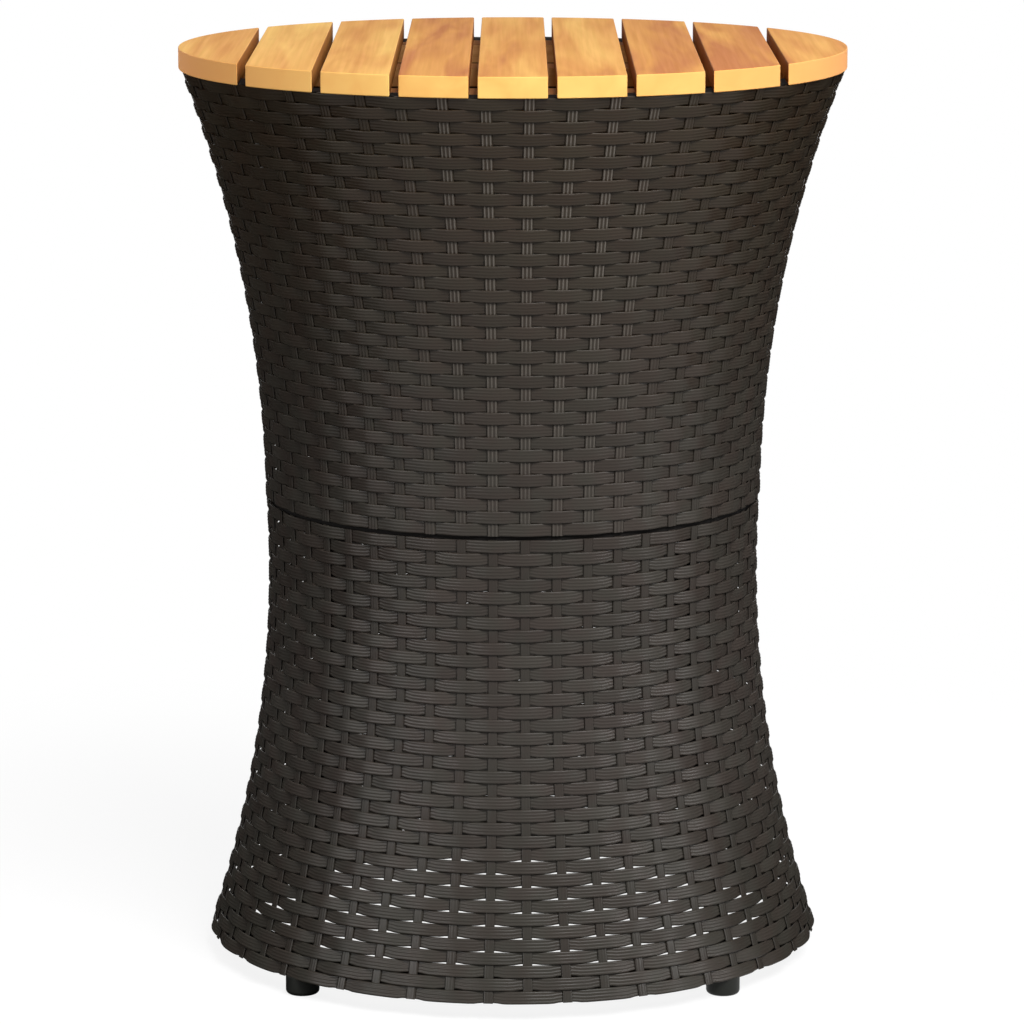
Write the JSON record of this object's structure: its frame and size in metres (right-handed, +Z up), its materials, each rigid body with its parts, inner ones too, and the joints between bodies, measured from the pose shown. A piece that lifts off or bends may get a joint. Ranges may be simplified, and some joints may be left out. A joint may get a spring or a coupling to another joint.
{
  "type": "rattan side table",
  "caption": "Round outdoor side table: slatted acacia top on an hourglass drum of dark woven flat strands, on steel frames bolted together at the waist, with short plastic feet.",
  "frame": {"origin": "on the floor under the middle of the round top", "axes": "+Z up; the slats run along Y; -Y is the side seen from the front, +X to the right of it"},
  "size_m": [0.48, 0.48, 0.662],
  "materials": {
    "acacia": "oiled",
    "acacia_batten": "oiled",
    "wicker": "satin",
    "frame_steel": "powder coated",
    "foot_plastic": "moulded",
    "zinc": "zinc plated"
  },
  "bodies": {
    "root": {"base_ring": "frame_steel", "foot_screws": "zinc", "front_batten": "acacia_batten", "front_left_foot": "foot_plastic", "front_right_foot": "foot_plastic", "lower_rib_1": "frame_steel", "lower_rib_2": "frame_steel", "lower_rib_3": "frame_steel", "lower_rib_4": "frame_steel", "lower_waist_ring": "frame_steel", "lower_weave": "wicker", "middle_batten": "acacia_batten", "rear_batten": "acacia_batten", "rear_left_foot": "foot_plastic", "rear_right_foot": "foot_plastic", "rim_ring": "frame_steel", "slat_screws": "zinc", "top_screws": "zinc", "top_slat_1": "acacia", "top_slat_2": "acacia", "top_slat_3": "acacia", "top_slat_4": "acacia", "top_slat_5": "acacia", "top_slat_6": "acacia", "top_slat_7": "acacia", "top_slat_8": "acacia", "top_slat_9": "acacia", "upper_rib_1": "frame_steel", "upper_rib_2": "frame_steel", "upper_rib_3": "frame_steel", "upper_rib_4": "frame_steel", "upper_waist_ring": "frame_steel", "upper_weave": "wicker", "waist_bolts": "zinc", "waist_nuts": "zinc"}
  },
  "joints": []
}
